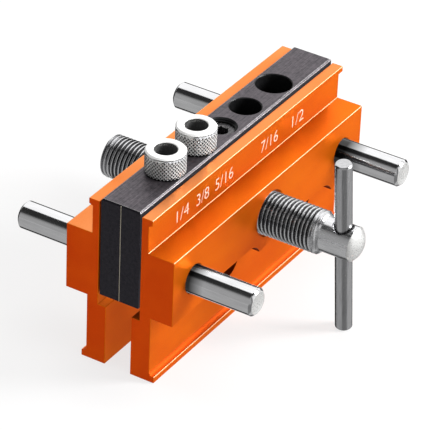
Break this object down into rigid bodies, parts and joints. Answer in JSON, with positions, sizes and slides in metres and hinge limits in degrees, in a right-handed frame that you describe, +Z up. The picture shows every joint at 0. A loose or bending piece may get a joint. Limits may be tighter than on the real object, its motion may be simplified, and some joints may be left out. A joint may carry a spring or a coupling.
{
  "type": "self centering doweling jig",
  "caption": "Drilled guide block between two stepped jaws that a left and right handed lead screw draws together on two rods.",
  "frame": {"origin": "middle of the guide block's underside, the stop face that rests on the work, on the centre plane between the jaws", "axes": "+X along the block, towards the end with the 1/2 inch hole; +Y from the turning bar's side to the rear jaw; +Z up, out of the guide holes"},
  "size_m": [0.12, 0.1021, 0.0722],
  "materials": {
    "black_steel": "black oxide, satin",
    "orange_aluminium": "orange anodised, satin",
    "polished_rod": "ground and plated",
    "plated_screw": "nickel plated thread",
    "plated_bar": "satin plated",
    "hardened_bushing": "turned and knurled",
    "black_screw": "black oxide"
  },
  "bodies": {
    "block": {"guide_block": "black_steel", "guide_rod_near": "polished_rod", "guide_rod_far": "polished_rod", "rod_set_screws": "black_screw", "keeper_screw": "black_screw"},
    "screw": {"lead_screw": "plated_screw", "turning_bar": "plated_bar"},
    "front": {"front_jaw": "orange_aluminium"},
    "rear": {"rear_jaw": "orange_aluminium"},
    "bushing_a": {"bushing_near": "hardened_bushing"},
    "bushing_b": {"bushing_far": "hardened_bushing"}
  },
  "joints": [
    {"name": "screw_turn", "type": "hinge", "parent": "block", "child": "screw", "pos_m": [0, 0, 0.0102], "axis": [0, 1, 0], "range_deg": [-120, 4800]},
    {"name": "front_slide", "type": "slide", "parent": "block", "child": "front", "axis": [0, -1, 0], "range_m": [-0.0005, 0.02]},
    {"name": "rear_slide", "type": "slide", "parent": "block", "child": "rear", "axis": [0, 1, 0], "range_m": [-0.0005, 0.02]},
    {"name": "bushing_near_lift", "type": "slide", "parent": "block", "child": "bushing_a", "axis": [0, 0, 1], "range_m": [0, 0.025]},
    {"name": "bushing_far_lift", "type": "slide", "parent": "block", "child": "bushing_b", "axis": [0, 0, 1], "range_m": [0, 0.025]}
  ],
  "couplings": [
    {"joint": "front_slide", "follows": "screw_turn", "m_per_rad": 0.00023873},
    {"joint": "rear_slide", "follows": "screw_turn", "m_per_rad": 0.00023873}
  ]
}
